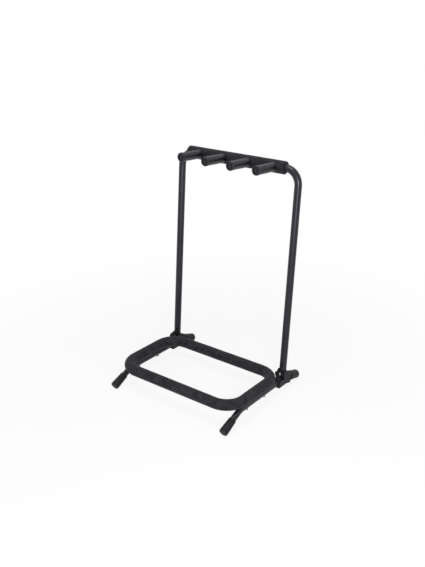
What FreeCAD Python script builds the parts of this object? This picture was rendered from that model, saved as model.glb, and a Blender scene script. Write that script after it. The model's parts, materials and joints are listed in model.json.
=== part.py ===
"""Folding floor stand for three guitars: a foam ring on two bent legs, and a leaning neck rest that folds."""

import FreeCAD
import Part
import Sketcher
import math
import os

Vector = FreeCAD.Vector

# Driving dimensions in millimetres and degrees: alias, value, meaning
SIZES = (
    ("tube_od", "19", "outside diameter of legs and ring"),
    ("frame_od", "22", "outside diameter of the back frame's tube"),
    ("tube_wall", "1.2", "wall of those tubes"),
    ("seat_gap", "0.05", "clearance of a sleeve, plug or bracket on its tube"),
    ("side_spacing", "422", "legs, ring sides and uprights, centre to centre"),
    ("ring_depth", "242", "front to back of the ring, centre to centre"),
    ("ring_corner", "60", "corner radius of the ring's centre line"),
    ("ring_height", "61.9", "ring axis above the floor at the ring's middle"),
    ("ring_tilt", "2.5", "how far the ring's front is tipped up"),
    ("ring_foam_wall", "7.25", "foam on the ring"),
    ("ring_lift", "22.7", "ring axis above the leg axis, foam pressed in"),
    ("ring_bolt_inset", "16", "ring bolt from the end of the ring's straight side"),
    ("ring_bolt_od", "6", "ring bolt shank"),
    ("ring_bolt_head_od", "11", "ring bolt head across"),
    ("ring_bolt_head", "4", "ring bolt head height"),
    ("ring_insert_od", "9", "threaded insert in the ring tube"),
    ("ring_insert_length", "11", "length of that insert"),
    ("ring_bolt_tail", "2", "ring bolt past its insert"),
    ("foam_hole_gap", "1", "foam hole round a ring bolt's insert"),
    ("leg_front_inset", "43", "front bend of a leg behind the ring's front bar"),
    ("leg_rear_offset", "46", "rear bend of a leg behind the fold pivot"),
    ("leg_front_slope", "21.5", "fall of a leg's front end"),
    ("leg_rear_slope", "18.8", "fall of a leg's rear end"),
    ("leg_bend", "60", "bend radius of a leg's centre line"),
    ("foot_length", "50", "rubber foot along its leg"),
    ("foot_sole", "8", "rubber below the leg's end"),
    ("front_sole_od", "26", "front foot at its sole"),
    ("rear_sole_od", "27.5", "rear foot at its sole"),
    ("foot_band", "12", "straight band above the sole"),
    ("front_mouth_od", "22.6", "front foot at its mouth"),
    ("rear_mouth_od", "31.5", "rear foot at its mouth"),
    ("foot_round", "2.5", "rounding of the sole's edge"),
    ("foot_mouth_round", "0.8", "rounding of the mouth's edge"),
    ("sole_flat", "1", "depth of the flat that stands on the floor"),
    ("frame_lean", "6.1", "how far the back frame leans back"),
    ("frame_bend", "45", "bend radius at the top of the uprights"),
    ("neck_rise", "622", "cross bar above the fold pivot, along the uprights"),
    ("neck_foam_od", "38", "foam on the cross bar"),
    ("neck_foam_margin", "41", "that foam past the outer pegs' axes"),
    ("neck_foam_shift", "8", "that foam's middle to the left of the stand's middle"),
    ("neck_foam_round", "3", "rounding of its ends"),
    ("peg_spacing", "89", "neck pegs, axis to axis"),
    ("peg_reach", "105", "peg tip from the cross bar's axis"),
    ("peg_tube_od", "16", "steel stub inside a peg"),
    ("peg_foam_od", "27", "foam on a peg"),
    ("peg_cap_od", "28", "peg end cap"),
    ("peg_cap_face", "7", "thickness of the cap outside the foam"),
    ("peg_cap_round", "2.5", "rounding of the cap's rim"),
    ("peg_cap_groove", "2.5", "depth of the ring-shaped groove in the cap's face"),
    ("peg_cap_groove_od", "20", "outside of that groove"),
    ("peg_cap_boss_od", "10", "round boss inside that groove"),
    ("peg_cap_boss_drop", "0.6", "boss below the cap's rim"),
    ("peg_cap_stem", "16", "cap stem inside the stub"),
    ("plug_flange", "3", "upright plug below the tube"),
    ("plug_stem", "14", "upright plug inside the tube"),
    ("plug_round", "1", "rounding of the plug's rim"),
    ("stop_gap", "0.3", "upright plug above the leg it stops on"),
    ("pivot_bolt_od", "6", "fold pivot bolt"),
    ("pivot_running_gap", "0.05", "radial clearance of the bolt in the ear"),
    ("pivot_head_od", "9", "pivot bolt head across"),
    ("pivot_head", "3.2", "pivot bolt head height"),
    ("pivot_head_round", "2", "doming of that head"),
    ("pivot_socket", "4", "hexagon socket in that head, across corners"),
    ("pivot_socket_depth", "1.8", "depth of that socket"),
    ("pivot_nut_od", "11.5", "pivot nut across corners"),
    ("pivot_nut", "3.2", "thin pivot nut height"),
    ("pivot_tail", "1.5", "pivot bolt past its nut"),
    ("washer_od", "14", "pivot washer"),
    ("washer", "1.2", "pivot washer thickness"),
    ("ear_thickness", "4", "ear on the leg's bracket"),
    ("ear_radius", "8.5", "round end of the ear"),
    ("bracket_wall", "4.15", "bracket beside the leg"),
    ("bracket_front", "11", "bracket ahead of the pivot"),
    ("bracket_rear", "30", "bracket behind the pivot, under the leg"),
    ("bracket_floor", "4.2", "bracket below the leg"),
    ("bracket_edge", "1", "bevel along the bracket's lower edges"),
    ("bracket_lip", "8", "bracket's low sides above the leg axis"),
    ("bracket_neck_gap", "1.5", "bracket's neck below the fork"),
    ("guide_gap", "0.5", "upright to the cheeks that guide it"),
    ("guide_wall", "2.2", "each guiding cheek"),
    ("guide_front", "13", "front edge of the cheeks behind the pivot"),
    ("guide_rear", "56", "rear edge of the cheeks behind the pivot"),
    ("guide_top", "35.5", "top corner of the cheeks above the leg axis"),
    ("guide_top_inset", "9", "that corner behind the cheeks' front edge"),
    ("guide_shoulder", "27", "front edge of the cheeks, its upper end above the leg axis"),
    ("guide_crown", "19", "rear end of the crown behind the cheeks' front edge"),
    ("guide_crown_end", "31", "rear end of the crown above the leg axis"),
    ("guide_tail", "17", "upper end of the cheeks' rear edge above the leg axis"),
    ("guide_heel", "18.5", "lowest corner of the cheeks below the leg axis"),
    ("guide_heel_inset", "6", "that corner ahead of the rear edge"),
    ("guide_heel_bevel", "3", "bevel between that corner and the rear edge"),
    ("cheek_thickness", "2", "each cheek of a fork"),
    ("cheek_radius", "9.5", "round end of a fork"),
    ("slot_room", "1.8", "end of the fork's slot behind the ear"),
    ("fork_root", "5", "solid root of the fork between slot and upright"),
    ("fork_slope", "14", "angle at which the fork's upper edge rises to the upright"),
    ("side_gap", "0.3", "ear to fork clearance"),
    ("ring_clearance", "0.8", "fork behind the ring's foam corner"),
    ("fold_clearance", "5.5", "folded uprights above the ring's foam"),
)

# Places worked out from the driving dimensions: alias, formula
PLACES = (
    ("side_x", "Sizes.side_spacing / 2"),
    ("tube_radius", "Sizes.tube_od / 2"),
    ("bore_radius", "tube_radius - Sizes.tube_wall"),
    ("seat_radius", "tube_radius + Sizes.seat_gap"),
    ("frame_radius", "Sizes.frame_od / 2"),
    ("frame_bore_radius", "frame_radius - Sizes.tube_wall"),
    ("frame_seat_radius", "frame_radius + Sizes.seat_gap"),
    ("stem_radius", "frame_bore_radius - Sizes.seat_gap"),
    ("ring_foam_radius", "tube_radius + Sizes.ring_foam_wall"),
    ("neck_foam_radius", "Sizes.neck_foam_od / 2"),
    ("neck_foam_length", "3 * Sizes.peg_spacing + 2 * Sizes.neck_foam_margin"),
    ("fork_width", "Sizes.ear_thickness + 2 * Sizes.side_gap + 2 * Sizes.cheek_thickness"),
    ("fork_slot", "Sizes.ear_thickness / 2 + Sizes.side_gap"),
    # The pivot stands ahead of the upright, behind the ring's rounded corner and high enough to fold flat
    ("pivot_ahead", "Sizes.ear_radius + Sizes.slot_room + Sizes.fork_root + frame_seat_radius"),
    ("corner_outer", "Sizes.ring_corner + ring_foam_radius"),
    ("corner_side", "Sizes.ring_corner - fork_width / 2"),
    ("corner_back", "Sizes.ring_depth / 2 - Sizes.ring_corner + sqrt(corner_outer ^ 2 - corner_side ^ 2)"),
    ("pivot_back", "corner_back + Sizes.cheek_radius + Sizes.ring_clearance"),
    ("pivot_over_ring", "ring_foam_radius + Sizes.fold_clearance - pivot_ahead + frame_radius"),
    ("pivot_rise", "Sizes.ring_lift + pivot_over_ring"),
    ("bracket_depth", "seat_radius + Sizes.bracket_floor"),
    # Legs, from the ring's middle along the tipped base
    ("leg_front", "Sizes.ring_depth / 2 - Sizes.leg_front_inset"),
    ("leg_rear", "pivot_back + Sizes.leg_rear_offset"),
    ("leg_front_y", "-leg_front * cos(Sizes.ring_tilt) - Sizes.ring_lift * sin(Sizes.ring_tilt)"),
    ("leg_rear_y", "leg_rear * cos(Sizes.ring_tilt) - Sizes.ring_lift * sin(Sizes.ring_tilt)"),
    ("leg_middle_z", "Sizes.ring_height - Sizes.ring_lift * cos(Sizes.ring_tilt)"),
    ("leg_front_z", "leg_middle_z + leg_front * sin(Sizes.ring_tilt)"),
    ("leg_rear_z", "leg_middle_z - leg_rear * sin(Sizes.ring_tilt)"),
    # Feet: the rounded sole dips below the floor by the depth of its flat
    ("front_sole_inner", "Sizes.front_sole_od / 2 - Sizes.foot_round"),
    ("rear_sole_inner", "Sizes.rear_sole_od / 2 - Sizes.foot_round"),
    ("front_sole_z", "front_sole_inner * cos(Sizes.leg_front_slope) "
     "+ Sizes.foot_round * (1 - sin(Sizes.leg_front_slope)) - Sizes.sole_flat"),
    ("rear_sole_z", "rear_sole_inner * cos(Sizes.leg_rear_slope) "
     "+ Sizes.foot_round * (1 - sin(Sizes.leg_rear_slope)) - Sizes.sole_flat"),
    ("front_run", "(leg_front_z - front_sole_z) / sin(Sizes.leg_front_slope)"),
    ("rear_run", "(leg_rear_z - rear_sole_z) / sin(Sizes.leg_rear_slope)"),
    ("front_sole_y", "leg_front_y - front_run * cos(Sizes.leg_front_slope)"),
    ("rear_sole_y", "leg_rear_y + rear_run * cos(Sizes.leg_rear_slope)"),
    ("front_reach", "front_sole_y + Sizes.foot_round * (cos(Sizes.leg_front_slope) - 1) "
     "- front_sole_inner * sin(Sizes.leg_front_slope)"),
    ("rear_reach", "rear_sole_y - Sizes.foot_round * (cos(Sizes.leg_rear_slope) - 1) "
     "+ rear_sole_inner * sin(Sizes.leg_rear_slope)"),
    ("pivot_reach", "pivot_back * cos(Sizes.ring_tilt) + pivot_over_ring * sin(Sizes.ring_tilt)"),
    ("neck_reach", "pivot_reach + pivot_ahead * cos(Sizes.frame_lean) "
     "+ Sizes.neck_rise * sin(Sizes.frame_lean) + neck_foam_radius"),
    # The origin is on the floor, midway between the front feet and whatever reaches furthest back
    ("ring_y", "-(front_reach + max(rear_reach; neck_reach)) / 2"),
    ("leg_y", "ring_y - Sizes.ring_lift * sin(Sizes.ring_tilt)"),
    ("bracket_y", "leg_y + pivot_back * cos(Sizes.ring_tilt)"),
    ("bracket_z", "leg_middle_z - pivot_back * sin(Sizes.ring_tilt)"),
    ("pivot_y", "ring_y + pivot_reach"),
    ("pivot_z", "bracket_z + pivot_rise * cos(Sizes.ring_tilt)"),
    ("ring_bolt_y", "Sizes.ring_depth / 2 - Sizes.ring_corner - Sizes.ring_bolt_inset"),
    # Back frame, from the pivot along the leaning uprights
    ("frame_y", "pivot_y + pivot_ahead * cos(Sizes.frame_lean)"),
    ("frame_z", "pivot_z - pivot_ahead * sin(Sizes.frame_lean)"),
    ("frame_over_leg", "Sizes.frame_lean - Sizes.ring_tilt"),
    ("frame_drop", "(pivot_rise - tube_radius - Sizes.stop_gap "
     "- (pivot_ahead + frame_radius) * sin(frame_over_leg)) / cos(frame_over_leg) - Sizes.plug_flange"),
    ("neck_y", "frame_y + Sizes.neck_rise * sin(Sizes.frame_lean)"),
    ("neck_z", "frame_z + Sizes.neck_rise * cos(Sizes.frame_lean)"),
    ("peg_tip", "Sizes.peg_reach - Sizes.peg_cap_face"),
    ("peg_bore_radius", "Sizes.peg_tube_od / 2 - Sizes.tube_wall"),
    ("peg_seat_radius", "Sizes.peg_tube_od / 2 + Sizes.seat_gap"),
)

PEGS = (-1.5, -0.5, 0.5, 1.5)
SIDES = (("left", -1), ("right", 1))
ENDS = (("front", -1), ("rear", 1))
HEXAGON = 6
SOCKET_TURNS = (15, 75, 135, 195, 255, 315)
SAME = 1e-6

doc = FreeCAD.newDocument("GuitarStand")


def fill_sheet(name, rows):
    """Make a spreadsheet with one named cell a row, and return it."""
    sheet = doc.addObject("Spreadsheet::Sheet", name)
    for index, row in enumerate(rows, start=1):
        sheet.set(f"A{index}", row[0])
        sheet.set(f"B{index}", row[1])
        sheet.setAlias(f"B{index}", row[0])
        if len(row) > 2:
            sheet.set(f"C{index}", row[2])
    doc.recompute()
    return sheet


sizes = fill_sheet("Sizes", SIZES)
places = fill_sheet("Places", [(alias, f"={formula}") for alias, formula in PLACES])


def number(expression):
    """Value of an expression in the sheets' names."""
    return float(sizes.evalExpression(expression))


def bind(thing, **expressions):
    """Tie properties of an object to expressions."""
    for name, expression in expressions.items():
        thing.setExpression(name, expression)


def place(thing, x="0", y="0", z="0", angle=None, axis=Vector(-1, 0, 0)):
    """Place an object by expressions, turned about an axis; by default its top turns to the rear."""
    if angle is not None:
        thing.Placement = FreeCAD.Placement(Vector(), FreeCAD.Rotation(axis, number(angle)))
        thing.setExpression("Placement.Rotation.Angle", angle)
    for name, expression in (("x", x), ("y", y), ("z", z)):
        thing.setExpression(f"Placement.Base.{name}", expression)


def new_body(label):
    """Make an empty body with its label."""
    body = doc.addObject("PartDesign::Body", label)
    body.Label = label
    return body


def new_sketch(body, role):
    """Make an empty sketch on one of the body's origin planes."""
    plane = next(item for item in body.Origin.OriginFeatures if item.Role == role)
    sketch = body.newObject("Sketcher::SketchObject", f"{body.Name}_sketch")
    sketch.AttachmentSupport = [(plane, "")]
    sketch.MapMode = "FlatFace"
    return sketch


def hold(sketch, kind, expression, *where):
    """Add a constraint whose value follows an expression."""
    index = sketch.addConstraint(Sketcher.Constraint(kind, *where, number(expression)))
    sketch.setExpression(f"Constraints[{index}]", expression)


def pin(sketch, geometry, point, x, y):
    """Hold a point of a sketch at two expressions."""
    for kind, axis, expression in (("DistanceX", -2, x), ("DistanceY", -1, y)):
        if expression == "0":
            sketch.addConstraint(Sketcher.Constraint("PointOnObject", geometry, point, axis))
        else:
            hold(sketch, kind, expression, geometry, point)


def add_circle(sketch, radius, x="0", y="0"):
    """Add a circle held at its centre and radius."""
    circle = Part.Circle(Vector(number(x), number(y), 0), Vector(0, 0, 1), number(radius))
    index = sketch.addGeometry(circle, False)
    hold(sketch, "Radius", radius, index)
    pin(sketch, index, 3, x, y)


def circles(body, role, radii, x="0", y="0"):
    """Sketch of concentric circles."""
    sketch = new_sketch(body, role)
    for radius in radii:
        add_circle(sketch, radius, x, y)
    return sketch


def polygon(body, role, corners):
    """Closed sketch of straight lines through corners given as expressions."""
    sketch = new_sketch(body, role)
    points = [Vector(number(x), number(y), 0) for x, y in corners]
    for index, start in enumerate(points):
        end = points[(index + 1) % len(points)]
        sketch.addGeometry(Part.LineSegment(start, end), False)
    for index, (x, y) in enumerate(corners):
        after = (index + 1) % len(corners)
        sketch.addConstraint(Sketcher.Constraint("Coincident", index, 2, after, 1))
        pin(sketch, index, 1, x, y)
    return sketch


def rectangle(body, role, low, high):
    """Sketch of a rectangle between two corners."""
    return polygon(body, role, (low, (high[0], low[1]), high, (low[0], high[1])))


def bend_arc(before, corner, after, radius):
    """Arc that rounds a corner, its ends along the route, and which sketch end comes first."""
    back = (before - corner).normalize()
    ahead = (after - corner).normalize()
    half = back.getAngle(ahead) / 2
    centre = corner + (back + ahead).normalize() * (radius / math.sin(half))
    tangent = radius / math.tan(half)
    start = corner + back * tangent
    end = corner + ahead * tangent
    turns_left = (corner - before).cross(after - corner).z > 0
    first, last = (start, end) if turns_left else (end, start)
    low = math.atan2(first.y - centre.y, first.x - centre.x)
    sweep = (math.atan2(last.y - centre.y, last.x - centre.x) - low) % (2 * math.pi)
    arc = Part.ArcOfCircle(Part.Circle(centre, Vector(0, 0, 1), radius), low, low + sweep)
    return arc, start, end, (1 if turns_left else 2)


def route(body, role, corners, radius, closed=False):
    """Sketch of straight runs joined by tangent arcs of one radius."""
    sketch = new_sketch(body, role)
    points = [Vector(number(x), number(y), 0) for x, y in corners]
    count = len(points)
    bends = range(count) if closed else range(1, count - 1)
    arcs = {i: bend_arc(points[i - 1], points[i], points[(i + 1) % count], number(radius)) for i in bends}
    runs = {}
    for i in range(count if closed else count - 1):
        after = (i + 1) % count
        start = arcs[i][2] if i in arcs else points[i]
        end = arcs[after][1] if after in arcs else points[after]
        runs[i] = sketch.addGeometry(Part.LineSegment(start, end), False)
    for i in bends:
        arc, _, _, first = arcs[i]
        before = runs[(i - 1) % count]
        curve = sketch.addGeometry(arc, False)
        corner = sketch.addGeometry(Part.Point(points[i]), True)
        sketch.addConstraint(Sketcher.Constraint("Tangent", before, 2, curve, first))
        sketch.addConstraint(Sketcher.Constraint("Tangent", curve, 3 - first, runs[i], 1))
        sketch.addConstraint(Sketcher.Constraint("PointOnObject", corner, 1, before))
        sketch.addConstraint(Sketcher.Constraint("PointOnObject", corner, 1, runs[i]))
        pin(sketch, corner, 1, *corners[i])
        hold(sketch, "Radius", radius, curve)
    if not closed:
        pin(sketch, runs[0], 1, *corners[0])
        pin(sketch, runs[count - 2], 2, *corners[-1])
    doc.recompute()
    return sketch


def sweep(body, path, radius, kind="PartDesign::AdditivePipe"):
    """Sweep a circle along a route, to add a bar or, with SubtractivePipe, to bore one."""
    profile = body.newObject("Sketcher::SketchObject", f"{body.Name}_section")
    profile.AttachmentSupport = [(path, "Edge1")]
    profile.MapMode = "NormalToEdge"
    add_circle(profile, radius)
    pipe = body.newObject(kind, f"{body.Name}_pipe")
    pipe.Profile = profile
    pipe.Spine = (path, [])
    doc.recompute()
    return pipe


def tube(body, path, outer, inner):
    """Sweep a hollow tube along a route."""
    sweep(body, path, outer)
    sweep(body, path, inner, "PartDesign::SubtractivePipe")


def pad(body, sketch, length, symmetric=True):
    """Raise a sketch, to both sides by default."""
    feature = body.newObject("PartDesign::Pad", f"{body.Name}_pad")
    feature.Profile = sketch
    feature.SideType = "Symmetric" if symmetric else "One side"
    bind(feature, Length=length)
    doc.recompute()
    return feature


def pocket(body, sketch, length=None):
    """Cut a sketch right through both ways, or for a length one way."""
    feature = body.newObject("PartDesign::Pocket", f"{body.Name}_pocket")
    feature.Profile = sketch
    if length is None:
        feature.Type = "ThroughAll"
        feature.SideType = "Symmetric"
    else:
        bind(feature, Length=length)
    doc.recompute()
    return feature


def revolve(body, corners):
    """Turn an outline in the XZ plane about Z."""
    sketch = polygon(body, "XZ_Plane", corners)
    feature = body.newObject("PartDesign::Revolution", f"{body.Name}_turned")
    feature.Profile = sketch
    feature.ReferenceAxis = (sketch, ["V_Axis"])
    doc.recompute()
    return feature


def round_rim(body, feature, radius, height, fillet):
    """Round the circular edge of that radius and height on a turned piece."""
    wanted = (number(radius), number(height))
    names = []
    for index, edge in enumerate(feature.Shape.Edges, start=1):
        if isinstance(edge.Curve, Part.Circle):
            found = (edge.Curve.Radius, edge.Curve.Center.z)
            if max(abs(a - b) for a, b in zip(found, wanted)) < SAME:
                names.append(f"Edge{index}")
    rounded = body.newObject("PartDesign::Fillet", f"{body.Name}_rim")
    rounded.Base = (feature, names)
    bind(rounded, Radius=fillet)
    doc.recompute()
    return rounded


def cut(label, base, tools):
    """Cut tools out of a base."""
    tool = tools[0]
    if len(tools) > 1:
        tool = doc.addObject("Part::MultiFuse", f"{label}_tools")
        tool.Shapes = tools
    result = doc.addObject("Part::Cut", label)
    result.Base = base
    result.Tool = tool
    result.Label = label
    doc.recompute()
    return result


def group(label, members):
    """Put identical pieces under one label."""
    result = doc.addObject("Part::Compound", label)
    result.Links = members
    result.Label = label
    return result


def on_side(sign, expression="Places.side_x"):
    """Expression for a place on the left or the right."""
    return expression if sign > 0 else f"-{expression}"


def leg_path(body):
    """Route of a leg in its own plane: falling front end, run under the ring, falling rear end."""
    front_fall = "(Sizes.leg_front_slope + Sizes.ring_tilt)"
    rear_fall = "(Sizes.leg_rear_slope - Sizes.ring_tilt)"
    front_length = "(Places.front_run - Sizes.foot_sole)"
    rear_length = "(Places.rear_run - Sizes.foot_sole)"
    corners = (
        (f"-Places.leg_front - {front_length} * cos{front_fall}", f"-{front_length} * sin{front_fall}"),
        ("-Places.leg_front", "0"),
        ("Places.leg_rear", "0"),
        (f"Places.leg_rear + {rear_length} * cos{rear_fall}", f"-{rear_length} * sin{rear_fall}"),
    )
    return route(body, "YZ_Plane", corners, "Sizes.leg_bend")


def place_leg(body, sign):
    """Set a body made along a leg's axis in its place."""
    place(body, on_side(sign), "Places.leg_y", "Places.leg_middle_z", "Sizes.ring_tilt")


def leg_tube(side, sign):
    """Bent leg with holes for its two ring bolts."""
    body = new_body(f"{side}_leg_tube")
    tube(body, leg_path(body), "Places.tube_radius", "Places.bore_radius")
    holes = new_sketch(body, "XY_Plane")
    for end in (1, -1):
        add_circle(holes, "Sizes.ring_bolt_od / 2 + Sizes.seat_gap", "0", on_side(end, "Places.ring_bolt_y"))
    pocket(body, holes)
    place_leg(body, sign)
    return body


def leg_groove(side, sign):
    """Bar of a leg's size and place, which presses its groove into the ring's foam."""
    body = new_body(f"{side}_leg_groove")
    sweep(body, leg_path(body), "Places.seat_radius")
    place_leg(body, sign)
    return body


def foot(end, way, side, sign):
    """Rubber tip over a leg's end, tapered to its mouth and flat where it stands."""
    body = new_body(f"{end}_{side}_foot_blank")
    sole = f"Sizes.{end}_sole_od / 2"
    mouth = f"Sizes.{end}_mouth_od / 2"
    corners = (
        ("0", "0"),
        (sole, "0"),
        (sole, "Sizes.foot_band"),
        (mouth, "Sizes.foot_length"),
        ("Places.seat_radius", "Sizes.foot_length"),
        ("Places.seat_radius", "Sizes.foot_sole"),
        ("0", "Sizes.foot_sole"),
    )
    turned = revolve(body, corners)
    turned = round_rim(body, turned, sole, "0", "Sizes.foot_round")
    round_rim(body, turned, mouth, "Sizes.foot_length", "Sizes.foot_mouth_round")
    sole_y = f"Places.ring_y + Places.{end}_sole_y"
    turn = f"90 - Sizes.leg_{end}_slope"
    place(body, on_side(sign), sole_y, f"Places.{end}_sole_z", turn, Vector(way, 0, 0))
    floor = doc.addObject("Part::Box", f"{end}_{side}_floor")
    room = "Sizes.foot_length"
    bind(floor, Length=f"2 * {room}", Width=f"4 * {room}", Height=room)
    place(floor, f"{on_side(sign)} - {room}", f"{sole_y} - 2 * {room}", f"-{room}")
    return cut(f"{end}_{side}_foot", body, [floor])


def ring_path(body):
    """Closed rectangle with round corners, in the ring's plane."""
    side = "Places.side_x"
    end = "Sizes.ring_depth / 2"
    corners = ((f"-{side}", f"-{end}"), (side, f"-{end}"), (side, end), (f"-{side}", end))
    return route(body, "XY_Plane", corners, "Sizes.ring_corner", closed=True)


def ring_body(label, outer, inner, hole):
    """Ring swept round its path, with a hole up through its underside at each bolt."""
    body = new_body(label)
    tube(body, ring_path(body), outer, inner)
    holes = new_sketch(body, "XY_Plane")
    for _, sign in SIDES:
        for end in (1, -1):
            add_circle(holes, hole, on_side(sign), on_side(end, "Places.ring_bolt_y"))
    pocket(body, holes, "Places.ring_foam_radius")
    place(body, "0", "Places.ring_y", "Sizes.ring_height", "Sizes.ring_tilt")
    return body


def ring_tube():
    """Steel loop that carries the instruments."""
    return ring_body(
        "ring_tube", "Places.tube_radius", "Places.bore_radius", "Sizes.ring_insert_od / 2 + Sizes.seat_gap"
    )


def ring_foam():
    """Foam sleeve on the loop, grooved where it is pressed on the legs."""
    hole = "Sizes.ring_insert_od / 2 + Sizes.foam_hole_gap"
    sleeve = ring_body("ring_foam_blank", "Places.ring_foam_radius", "Places.seat_radius", hole)
    return cut("ring_foam", sleeve, [leg_groove(side, sign) for side, sign in SIDES])


def at_ring_bolt(body, sign, end):
    """Set a piece that is made from the leg's axis upwards at one of the ring bolts."""
    along = on_side(end, "Places.ring_bolt_y")
    place(
        body,
        on_side(sign),
        f"Places.leg_y + ({along}) * cos(Sizes.ring_tilt)",
        f"Places.leg_middle_z - ({along}) * sin(Sizes.ring_tilt)",
        "Sizes.ring_tilt",
    )


def ring_bolt(name, sign, end):
    """Bolt up through a leg into the ring."""
    body = new_body(f"ring_bolt_{name}")
    shank = "Sizes.ring_bolt_od / 2"
    head = "Sizes.ring_bolt_head_od / 2"
    seat = "-Places.seat_radius"
    low = f"{seat} - Sizes.ring_bolt_head"
    top = "Sizes.ring_lift - Places.tube_radius + Sizes.ring_insert_length + Sizes.ring_bolt_tail"
    revolve(body, (("0", low), (head, low), (head, seat), (shank, seat), (shank, top), ("0", top)))
    at_ring_bolt(body, sign, end)
    return body


def ring_insert(name, sign, end):
    """Threaded insert in the underside of the ring tube."""
    body = new_body(f"ring_insert_{name}")
    radii = ("Sizes.ring_insert_od / 2", "Sizes.ring_bolt_od / 2 + Sizes.seat_gap")
    sketch = circles(body, "XY_Plane", radii)
    sketch.setExpression("AttachmentOffset.Base.z", "Sizes.ring_lift - Places.tube_radius")
    pad(body, sketch, "Sizes.ring_insert_length", symmetric=False)
    at_ring_bolt(body, sign, end)
    return body


def guide_cheeks(body):
    """Two cheeks behind the pivot that take the upright's lower end and the leg's bend between them."""
    front = "Sizes.guide_front"
    rear = "Sizes.guide_rear"
    heel = f"{rear} - Sizes.guide_heel_inset"
    outline = (
        (front, "-Places.tube_radius / 2"),
        ("Sizes.bracket_rear", "-Places.bracket_depth"),
        (heel, "-Sizes.guide_heel"),
        (f"{heel} + Sizes.guide_heel_bevel", "Sizes.guide_heel_bevel - Sizes.guide_heel"),
        (rear, "Sizes.guide_tail"),
        (f"{front} + Sizes.guide_crown", "Sizes.guide_crown_end"),
        (f"{front} + Sizes.guide_top_inset", "Sizes.guide_top"),
        (front, "Sizes.guide_shoulder"),
    )
    inner = "(Places.frame_radius + Sizes.guide_gap)"
    pad(body, polygon(body, "YZ_Plane", outline), f"2 * {inner} + 2 * Sizes.guide_wall")
    gap = rectangle(body, "XZ_Plane", (f"-{inner}", "0"), (inner, "2 * Sizes.guide_top"))
    pocket(body, gap)
    bend_room = rectangle(body, "XY_Plane", (f"-{inner}", "Sizes.bracket_rear"), (inner, f"2 * {rear}"))
    pocket(body, bend_room)


def pad_lengthwise(body, sketch, front, rear):
    """Pad a cross section of the bracket by one length to the front and another to the rear."""
    block = pad(body, sketch, front)
    block.SideType = "Two sides"
    bind(block, Length2=rear)
    doc.recompute()


def bracket_cradle(body, outer):
    """Square-bottomed cradle under the leg, from ahead of the pivot to below the upright."""
    low = "-Places.bracket_depth"
    edge = f"{low} + Sizes.bracket_edge"
    inset = f"{outer} - Sizes.bracket_edge"
    outline = (
        (f"-({inset})", low),
        (inset, low),
        (outer, edge),
        (outer, "Sizes.bracket_lip"),
        (f"-({outer})", "Sizes.bracket_lip"),
        (f"-({outer})", edge),
    )
    pad_lengthwise(body, polygon(body, "XZ_Plane", outline), "Sizes.bracket_front", "Sizes.bracket_rear")


def bracket_ear(body, outer):
    """Collar round the leg that narrows to the ear of the fold pivot."""
    front = "Sizes.bracket_front"
    rear = "Sizes.ear_radius"
    ear = "Sizes.ear_thickness / 2"
    rise = "Places.pivot_rise"
    neck = f"{rise} - Sizes.cheek_radius - Sizes.bracket_neck_gap"
    shoulder = ((f"-({outer})", "0"), (outer, "0"), (ear, neck), (f"-{ear}", neck))
    pad_lengthwise(body, polygon(body, "XZ_Plane", shoulder), front, rear)
    blade = ((f"-{front}", "0"), (rear, "0"), (rear, rise), (f"-{rear}", rise), (f"-{front}", neck))
    pad(body, polygon(body, "YZ_Plane", blade), "Sizes.ear_thickness")
    pad(body, circles(body, "YZ_Plane", ("Sizes.ear_radius",), "0", rise), "Sizes.ear_thickness")


def hinge_bracket(side, sign):
    """Bracket on a leg: a cradle, an ear bored for the fold pivot, and cheeks beside the upright."""
    body = new_body(f"{side}_hinge_bracket")
    outer = "Places.seat_radius + Sizes.bracket_wall"
    bracket_cradle(body, outer)
    guide_cheeks(body)
    bracket_ear(body, outer)
    pocket(body, circles(body, "XZ_Plane", ("Places.seat_radius",)))
    bore = "Sizes.pivot_bolt_od / 2 + Sizes.pivot_running_gap"
    pocket(body, circles(body, "YZ_Plane", (bore,), "0", "Places.pivot_rise"))
    place(body, on_side(sign), "Places.bracket_y", "Places.bracket_z", "Sizes.ring_tilt")
    return body


def place_frame(body, x="0", y="Places.frame_y", z="Places.frame_z"):
    """Set a piece of the leaning back frame in its place."""
    place(body, x, y, z, "Sizes.frame_lean")


def frame_path(body):
    """Route of the back frame: up one side, across and down the other."""
    side = "Places.side_x"
    corners = (
        (f"-{side}", "-Places.frame_drop"),
        (f"-{side}", "Sizes.neck_rise"),
        (side, "Sizes.neck_rise"),
        (side, "-Places.frame_drop"),
    )
    return route(body, "XZ_Plane", corners, "Sizes.frame_bend")


def back_frame_tube():
    """One tube bent into both uprights and the cross bar."""
    body = new_body("back_frame_tube")
    tube(body, frame_path(body), "Places.frame_radius", "Places.frame_bore_radius")
    place_frame(body)
    return body


def neck_rest_foam():
    """Foam sleeve on the cross bar, bored for the bent tube and the pegs' stubs."""
    sleeve = new_body("neck_rest_foam_blank")
    block = pad(sleeve, circles(sleeve, "YZ_Plane", ("Places.neck_foam_radius",)), "Places.neck_foam_length")
    edges = enumerate(block.Shape.Edges, start=1)
    ends = [f"Edge{index}" for index, edge in edges if isinstance(edge.Curve, Part.Circle)]
    rounded = sleeve.newObject("PartDesign::Fillet", "neck_rest_foam_rims")
    rounded.Base = (block, ends)
    bind(rounded, Radius="Sizes.neck_foam_round")
    place_frame(sleeve, "-Sizes.neck_foam_shift", "Places.neck_y", "Places.neck_z")
    bore = new_body("neck_rest_bore")
    sweep(bore, frame_path(bore), "Places.frame_seat_radius")
    place_frame(bore)
    holes = new_body("neck_peg_holes")
    stubs = new_sketch(holes, "XY_Plane")
    for step in PEGS:
        add_circle(stubs, "Places.peg_seat_radius", f"{step} * Sizes.peg_spacing")
    pad(holes, stubs, "Sizes.peg_reach", symmetric=False)
    place_peg(holes, 0)
    return cut("neck_rest_foam", sleeve, [bore, holes])


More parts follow.
